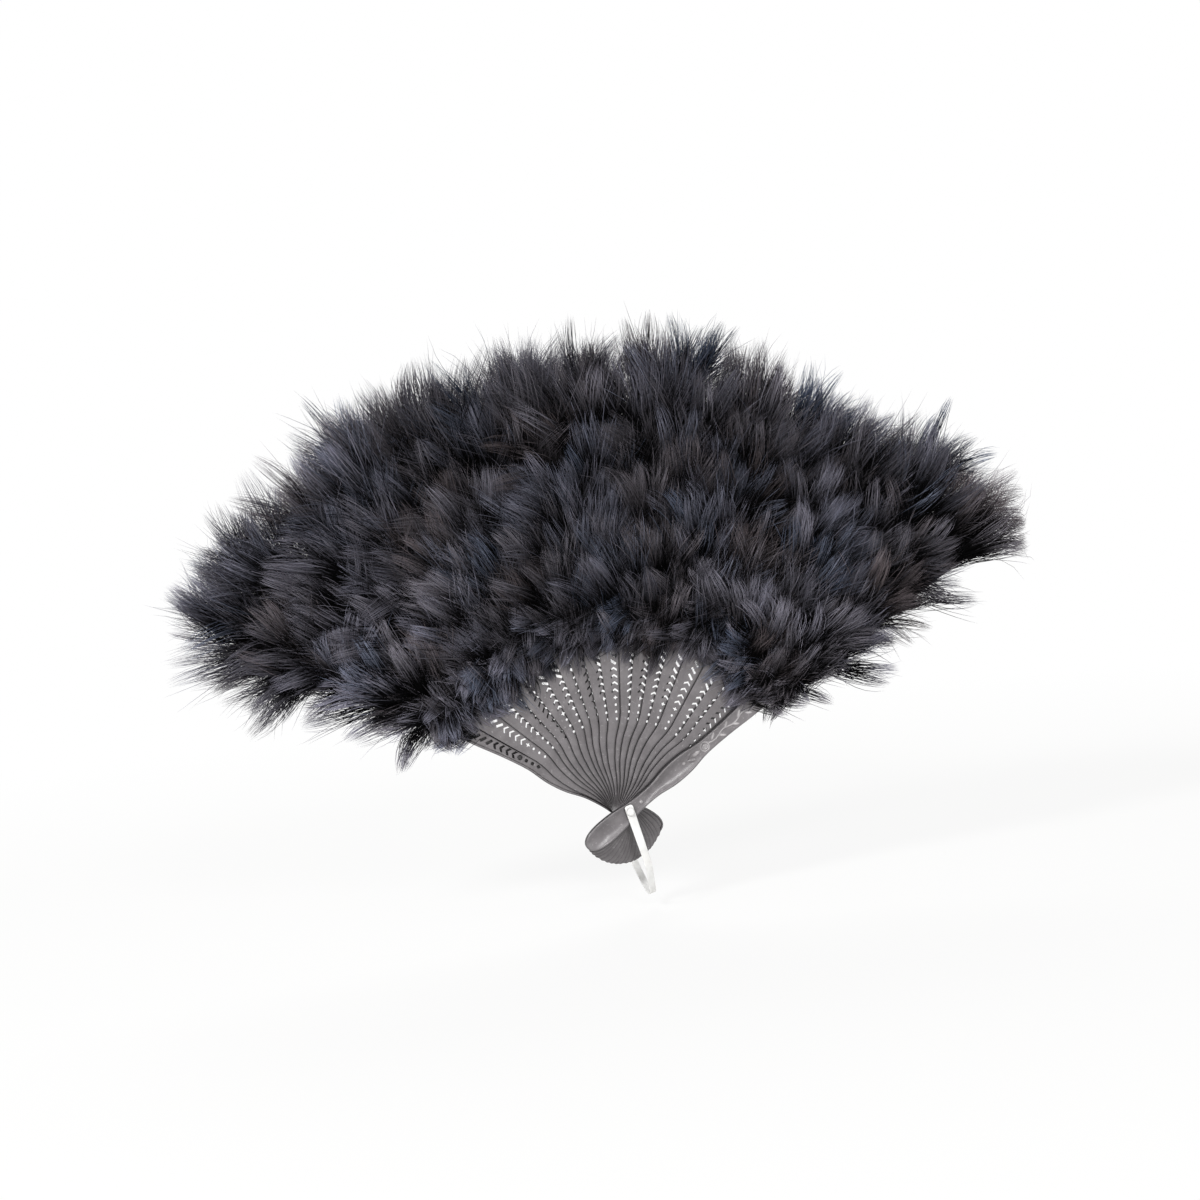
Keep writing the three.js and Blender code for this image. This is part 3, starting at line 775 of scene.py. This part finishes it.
def makeCordSpan(v, index):
    knots = cordSpan(v, index)
    reach = np.concatenate([[0], np.cumsum(np.linalg.norm(np.diff(knots, axis=0), axis=1))])
    steps = max(v["fewestRings"], int(reach[-1] / v["twist"] * v["perTwist"]))
    s = np.linspace(0, reach[-1], steps + 1)
    middle = np.stack([np.interp(s, reach, knots[:, k]) for k in range(3)], 1)
    tangent = unit(knots[-1] - knots[0])
    across = unit(np.cross(tangent, [0, 1, 0]))
    outer = np.cross(tangent, across)
    points, faces = [], []
    for ply in (0, math.pi):
        faces += tubeFaces(steps + 1, v["sides"], len(points))
        for place, length in zip(middle, s):
            turn = ply + 2 * math.pi * length / v["twist"]
            heart = place + v["ply"] * (math.cos(turn) * across + math.sin(turn) * outer)
            for m in range(v["sides"]):
                a = 2 * math.pi * m / v["sides"]
                points.append(heart + v["ply"] * (math.cos(a) * across + math.sin(a) * outer))
    points = (np.array(points) / perMetre).tolist()
    piece = addMesh(f"cord_span_{index + 1:02d}", points, faces, thread, staves[index]["body"])
    outwardFaces(piece.data)
    smoothFaces(piece.data)
    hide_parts("linking_cord")
    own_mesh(piece)


for index in range(len(staves) - 1):
    makeCordSpan(linkingCord, index)
print("cord twisted")

# the down: every stave carries tufts in rows, front and back, each a handful of locks of fine strands
downTufts = {
    "seed": 41,
    # front rows and back rows: mm from the pivot to the feet, length in mm, degrees out of the fan, strands
    "front": [(112, 32, 24, 210), (122, 36, 24, 220), (132, 40, 22, 220), (143, 42, 22, 220),
              (154, 42, 20, 220), (165, 42, 20, 220), (176, 42, 18, 220), (187, 42, 16, 220),
              (198, 42, 14, 220), (209, 42, 12, 220)],
    "back": [(114, 34, 24, 150), (130, 42, 22, 160), (146, 44, 20, 160), (162, 44, 18, 160),
             (178, 44, 16, 160), (194, 44, 14, 160), (208, 42, 10, 160)],
    "skipped": 0.17,        # share of those tufts that are missing, where the quill pad shows, near black as painted shade
    # along the top: mm short of the tip, degrees out of the fan
    "rim": {"feet": [60, 50, 42, 36], "lift": [6, 2, -2, 1], "strands": 270, "turnSpread": 7},
    # along the bottom, shorter on the guards; tufts that point well down grow from the first feet
    "hem": {"feet": [114, 119], "downFrom": 120, "long": 24, "lift": 16, "strands": 120,
            "turns": [-150, 165, -95, 100, 180], "guardShare": 0.65},
    # tufts that stand out past the guards: mm to the feet, degrees aside, length
    "frontEdge": [(110, 36, 20), (126, 25, 29), (144, 22, 31), (162, 21, 31), (180, 20, 32), (198, 17, 36),
                  (218, 9, 44), (244, 3, 64)],
    "backEdge": [(110, 30, 19), (126, 28, 28), (144, 26, 31), (162, 25, 34), (180, 25, 38), (196, 26, 45),
                 (210, 26, 55), (226, 19, 60)],
    "edgeLift": 7,
    "edgeStrands": 185,
    # outline of the open fan: degrees from the upright, mm from the pivot
    "outline": [(-60, 292), (-54, 284), (-49, 282), (-42, 276), (-36, 273), (-31, 282), (-25, 278),
                (-19, 274), (-14, 266), (-9, 272), (-4, 267), (2, 271), (8, 268), (10, 274), (13.5, 283),
                (18, 256), (21, 261), (26, 275), (32, 273), (40, 281), (46, 280), (51, 291), (57, 300)],
    "trim": (262, 35, 300),     # mm, furthest that strands reach across, deep and up
    "trimSoft": 12,
    # whole tufts, by chance
    "footSpread": 8,        # mm that a foot lies up or down the rib
    "footOff": 1.2,         # mm from the middle of the stave
    "placeSpread": 1.6,     # degrees that feet lie off the stave
    "turnSpread": 15,       # degrees that tufts lean
    "stand": (0.5, 1.5),    # how far they stand out, times their lift
    "tuftBend": 12,         # degrees
    # locks in a tuft
    "strandsPerLock": 27,
    "fewestLocks": 3,
    "spread": (4.8, 4.32),  # mm, how far locks lie across and along a tuft
    "fan": 17,              # degrees that locks at its sides lean outwards
    "lockLean": 9,          # degrees
    "lockRaise": 7,
    "lockBend": 16,
    "lockLong": (0.82, 1.08),
    "pull": (0.72, 1.5),    # how far the ends of a lock draw together, and how late
    # strands in a lock
    "footWidth": (2.4, 3.5, 0.7),   # mm, how far their feet lie across, along and deep
    "strandLean": 7,        # degrees
    "strandRaise": 6,
    "strandBend": 8,
    "strandLong": (0.82, 1.06),
    "stray": 0.09,          # share of strands that stand alone
    "strayLean": 0.2,       # radians
    "strayLong": 1.06,
    "waver": 0.1,
    "waverTurns": 0.7,
    "lieDown": 1.5,         # share of its rise that a strand has lost at its end
    "droop": 0.08,
    "segments": 5,
    "sides": 3,
    "radius": 0.0002,       # metres, of a strand near its foot
    "taper": [(0, 0.75), (0.25, 1.0), (1, 0.3)],
    # tone, from brown to blue
    "patch": 42,            # mm, size of the browner and bluer patches
    "patchWaves": [(0.62, 0, 1.3), (-0.35, 0.55, 4.0), (0.9, 0.8, 0)],      # across, up, shift
    "tone": (0.46, 0.16),   # middle, and swing of one wave
    "toneSpread": (0.08, 0.04, 0.02),       # from tuft to tuft, lock to lock and strand to strand
    # light and dark: random spread, then painted light and shade
    "lightSpread": (0.08, 0.12, 0.28),      # from tuft to tuft, lock to lock and strand to strand
    "lightRange": (0.3, 1.8),
    "palest": 2.2,          # most light that a strand may have
    "footShade": [(0, 0.003), (0.44, 0.012), (0.73, 0.76), (1, 1.36)],      # painted shade along a strand, near black at the foot and paler at the end
    "lockShade": [(-7, 0.5), (7, 1.03)],    # painted shade by degrees that a lock stands out: the ones below are darker
    "standLight": [(0.5, 0.5), (1.5, 1.1)],     # painted shade: tufts that lie low are darker than those that stand out
    "edgeLight": 1.25,      # painted light: tufts past the guards catch more
    "sideLight": [(-57, 1.56), (-25, 1.2), (0, 0.98), (25, 1.2), (57, 1.8)],    # painted light: the sides look paler
    "hemLight": [(110, 1.1), (140, 1.25), (175, 1.03)],     # painted light by mm from the pivot, in the middle of the fan
    # painted light by mm from the pivot, on the left and on the right side
    "leftHemLight": [(110, 1.8), (145, 1.7), (180, 1.0)],
    "rightHemLight": [(110, 1.2), (145, 1.2), (180, 1.0)],
    "sideFrom": (20, 50),   # degrees from the upright where the sides begin and the middle has ended
    # quills under the tufts, in mm, coloured near black as painted shade; they are full thick where they are
    # this half width
    "pad": {"foot": 112, "short": 26, "halfWidth": [(0, 6), (0.3, 12), (0.8, 17), (1, 6)], "thick": 1.3,
            "fullFrom": 10, "steps": 14, "sides": 8, "light": 0.01},
    "looseFrom": 10,        # degrees of lift from which a guard's outer tufts go into a piece of their own
    "keepWhenClosed": 0.07,
}


def trimmed(points):
    # long ends are drawn back softly to the room that the fan has
    room, soft = np.array(downTufts["trim"]), downTufts["trimSoft"]
    over = np.maximum(np.abs(points) - (room - soft), 0)
    return np.where(over > 0, np.sign(points) * (room - soft + soft * np.tanh(over / soft)), points)


def patchTone(place):
    # neighbouring tufts share a tone: browner below the middle, bluer above it
    x, z = (place[k] * 2 * math.pi / downTufts["patch"] for k in (0, 2))
    middle, swing = downTufts["tone"]
    return middle + swing * sum(math.sin(a * x + b * z + c) for a, b, c in downTufts["patchWaves"])


def growTuft(draw, stave, foot, side, turn, lift, long, count, turnSpread, paler):
    v = downTufts
    outward, aside = staveDirections(stave["angle"] + draw.normal(0, v["placeSpread"]))
    raised = np.array([0, -side, 0.0])
    heading = math.radians(turn + draw.normal(0, turnSpread))
    root = outward * (foot + draw.uniform(-1, 1) * v["footSpread"])
    root = root + np.array([0, stave["layer"] * perMetre - side * v["footOff"], 0])
    stand = draw.uniform(*v["stand"])
    ahead = math.cos(heading) * outward + math.sin(heading) * aside
    level = math.cos(heading) * aside - math.sin(heading) * outward

    locks = max(v["fewestLocks"], count // v["strandsPerLock"])
    lock = draw.integers(0, locks, count)
    spreadAcross, spreadAlong = v["spread"]
    lockAside = draw.normal(0, spreadAcross, locks)
    lockAlong = draw.normal(0, spreadAlong, locks)
    lockLean = np.radians(lockAside / spreadAcross * v["fan"] + draw.normal(0, v["lockLean"], locks))
    lockRaise = draw.normal(0, v["lockRaise"], locks)
    lockLift = np.radians(lift * stand + lockRaise)
    lockLong = draw.uniform(*v["lockLong"], locks)
    lockBend = np.radians(draw.normal(0, v["tuftBend"]) + draw.normal(0, v["lockBend"], locks))
    lone = draw.uniform(0, 1, count) < v["stray"]

    footAcross, footAlong, footDeep = v["footWidth"]
    aStart = lockAside[lock] + draw.normal(0, footAcross, count)
    bStart = lockAlong[lock] + draw.normal(0, footAlong, count)
    cStart = draw.normal(0, footDeep, count)
    lean = lockLean[lock] + np.radians(draw.normal(0, v["strandLean"], count))
    lean = lean + np.where(lone, draw.normal(0, v["strayLean"], count), 0)
    rise = lockLift[lock] + np.radians(draw.normal(0, v["strandRaise"], count))
    size = long * lockLong[lock] * draw.uniform(*v["strandLong"], count) * np.where(lone, v["strayLong"], 1)
    bend = lockBend[lock] + np.radians(draw.normal(0, v["strandBend"], count))
    wave = draw.normal(0, v["waver"], (count, 2))

    segments = v["segments"]
    u = np.linspace(0, 1, segments + 1)
    points = np.zeros((count, segments + 1, 3))
    points[:, 0] = root + aStart[:, None] * level + bStart[:, None] * ahead + cStart[:, None] * raised
    for k in range(1, segments + 1):
        t = (u[k] + u[k - 1]) / 2
        a = lean + bend * t
        c = rise * (1 - v["lieDown"] * t)
        sway = math.sin(2 * math.pi * v["waverTurns"] * t)
        flat = np.cos(a)[:, None] * ahead + np.sin(a)[:, None] * level
        direction = np.cos(c)[:, None] * flat + np.sin(c)[:, None] * raised
        direction = direction + sway * (wave[:, :1] * level + wave[:, 1:] * raised)
        direction[:, 2] -= v["droop"] * t
        points[:, k] = points[:, k - 1] + unit(direction) * (size / segments)[:, None]

    # the ends of a lock draw together
    sums = np.zeros((locks, segments + 1, 3))
    np.add.at(sums, lock, points)
    held = np.bincount(lock, minlength=locks).clip(1)
    middle = (sums / held[:, None, None])[lock]
    most, late = v["pull"]
    pull = (most * u ** late)[None, :, None] * np.where(lone, 0.0, 1.0)[:, None, None]
    points = trimmed(points + (middle - points) * pull)

    tuftTone, lockTone, strandTone = v["toneSpread"]
    tone = patchTone(root + ahead * long / 2) + draw.normal(0, tuftTone)
    tone = tone + draw.normal(0, lockTone, locks)[lock] + draw.normal(0, strandTone, count)
    tuftLight, lockLight, strandLight = v["lightSpread"]
    light = np.exp(draw.normal(0, tuftLight) + draw.normal(0, lockLight, locks)[lock]
                   + draw.normal(0, strandLight, count))
    # painted light and shade: by region of the fan, by how far a tuft stands out, and darker for locks under
    # others
    sideShare = np.interp(abs(stave["angle"]), v["sideFrom"], (0, 1))
    sideHem = curve(foot, v["leftHemLight" if stave["angle"] < 0 else "rightHemLight"])
    feet = (1 - sideShare) * curve(foot, v["hemLight"]) + sideShare * sideHem
    region = curve(stave["angle"], v["sideLight"]) * feet
    region = region * paler * curve(stand, v["standLight"])
    under = curve(lockRaise, v["lockShade"])[lock]
    light = np.minimum(light.clip(*v["lightRange"]) * under * region, v["palest"])
    return points, np.clip(tone, 0, 1), light


def strandMesh(points, shade, light):
    # every strand is a closed tube that tapers to a point
    v = downTufts
    count, rings, sides = points.shape[0], points.shape[1] - 1, v["sides"]
    points = points / perMetre
    tangent = unit(np.gradient(points, axis=1))
    steep = np.abs(tangent[..., 1:2]) > 0.9
    across = unit(np.cross(tangent, np.where(steep, np.array([1.0, 0, 0]), np.array([0, 1.0, 0]))))
    outer = np.cross(tangent, across)
    u = np.linspace(0, 1, rings + 1)
    radius = (v["radius"] * curve(u, v["taper"]))[None, :, None]
    corners = []
    for m in range(sides):
        turn = 2 * math.pi * m / sides + math.pi / 2
        corners.append(points + radius * (math.cos(turn) * across + math.sin(turn) * outer))
    ringPoints = np.stack(corners, 2)[:, :rings]
    flat = np.concatenate([ringPoints.reshape(count, rings * sides, 3), points[:, rings:]], 1)
    perStrand = rings * sides + 1
    first = np.arange(count)[:, None, None] * perStrand
    walls = tubeFaces(rings, sides)[:-2]
    last = (rings - 1) * sides
    ends = [[last + m, last + (m + 1) % sides, rings * sides] for m in range(sides)]
    ends.append(list(range(sides))[::-1])
    quads = (first + np.array(walls)[None]).reshape(-1, 4)
    triangles = (first + np.array(ends)[None]).reshape(-1, 3)
    reach = np.concatenate([np.repeat(u[:rings], sides), [1.0]])
    # painted shade along each strand, near black at its foot
    light = (light[:, None] * curve(reach, v["footShade"])).ravel()
    return flat.reshape(-1, 3), quads, triangles, np.repeat(shade, perStrand), light


def quillPadPaintedShade(stave, tip):
    # the quills lie close together under the tufts, as a leaf round the rib, near black as painted shade
    v = downTufts["pad"]
    outward, aside = staveDirections(stave["angle"])
    along = np.linspace(0, 1, v["steps"] + 1)
    far = v["foot"] + along * (tip - v["short"] - v["foot"])
    half = curve(along, v["halfWidth"])
    around = np.linspace(0, 2 * math.pi, v["sides"], endpoint=False)
    points = []
    for r, w in zip(far, half):
        for turn in around:
            deep = v["thick"] * math.sin(turn) * min(1, w / v["fullFrom"])
            inLayer = np.array([0, stave["layer"] * perMetre + deep, 0])
            points.append(outward * r + aside * w * math.cos(turn) + inLayer)
    return np.array(points) / perMetre, tubeFaces(v["steps"] + 1, v["sides"])


# colour follows from tone and light alone, so these two place every face on a baked picture
bakeSheet = {
    "tone": (0.01, 0.98),   # where it starts and how far it reaches
    "light": (0.004, 0.25),
    "apart": 0.003,         # between the corners of a strand
    "margin": 0.001,
}


def bakePlaces(mesh, tone, light):
    v = bakeSheet
    places = mesh.uv_layers.new(name="OFBake")
    corner = np.zeros(len(mesh.loops), np.int32)
    mesh.loops.foreach_get("vertex_index", corner)
    apart = (np.arange(len(tone)) % downTufts["sides"] - 1) * v["apart"]
    (toneStart, toneReach), (lightStart, lightReach) = v["tone"], v["light"]
    place = np.stack([toneStart + toneReach * tone + apart, lightStart + lightReach * light], 1)
    place = place.clip(v["margin"], 1 - v["margin"])
    places.data.foreach_set("uv", place[corner].astype(np.float32).ravel())


def stavesTufts(index, draw, tip):
    v = downTufts
    wild = v["turnSpread"]
    tufts = []
    for side, rows in ((1, v["front"]), (-1, v["back"])):
        for foot, long, lift, strands in rows:
            if draw.uniform() > v["skipped"]:
                tufts.append((foot, side, 0, lift, long, strands, wild, 1))
    rim, hem = v["rim"], v["hem"]
    outwards = {0: (1, v["frontEdge"]), len(staves) - 1: (-1, v["backEdge"])}
    hand, edge = outwards.get(index, (0, []))
    hemLong = hem["long"] * (hem["guardShare"] if edge else 1)
    for short, lift in zip(rim["feet"], rim["lift"]):
        tufts.append((tip - short, 1, 0, lift, short, rim["strands"], rim["turnSpread"], 1))
    for turn in hem["turns"]:
        for side in (1, -1):
            foot = hem["feet"][0 if abs(turn) > hem["downFrom"] else 1]
            tufts.append((foot, side, turn, hem["lift"], hemLong, hem["strands"], wild, 1))
    for foot, turn, long in edge:
        for side in (1, -1):
            tufts.append((foot, side, turn * hand, v["edgeLift"], long, v["edgeStrands"], rim["turnSpread"],
                          v["edgeLight"]))
    return tufts


def addDown(name, stave, grown, pad):
    lines, shade, light = (np.concatenate([g[k] for g in grown]) for k in range(3))
    points, quads, triangles, tone, light = strandMesh(lines, shade, light)
    padPoints, padFaces = pad
    padFaces = [[n + len(points) for n in face] for face in padFaces]
    points = np.concatenate([points, padPoints])
    tone = np.concatenate([tone, np.zeros(len(padPoints))])
    # the quill pad takes a near-black light: painted shade
    light = np.concatenate([light, np.full(len(padPoints), downTufts["pad"]["light"])])
    faces = quads.tolist() + triangles.tolist() + padFaces
    piece = addMesh(name, points.tolist(), faces, down, stave["body"])
    storeValues(piece.data, {"tone": tone, "light": light})
    bakePlaces(piece.data, tone, light)
    smoothFaces(piece.data)
    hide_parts(stave["plume"])
    return piece


def growStave(index, stave):
    v = downTufts
    draw = np.random.default_rng(v["seed"] + index)
    tip = curve(stave["angle"], v["outline"])
    outerSide = {0: 1, len(staves) - 1: -1}.get(index)
    folding, loose = [], []
    for tuft in stavesTufts(index, draw, tip):
        side, lift = tuft[1], tuft[3]
        kept = loose if side == outerSide and lift >= v["looseFrom"] else folding
        kept.append(growTuft(draw, stave, *tuft))
    name = stave["plume"].replace("plume", "down")
    piece = addDown(name, stave, folding, quillPadPaintedShade(stave, tip))
    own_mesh(piece)
    if loose:
        addDown(name + "_outer", stave, loose, (np.zeros((0, 3)), []))
    return sum(len(lines) for lines, shade, light in folding + loose)


strands = [growStave(index, stave) for index, stave in enumerate(staves)]
print("down grown:", sum(strands), "strands")
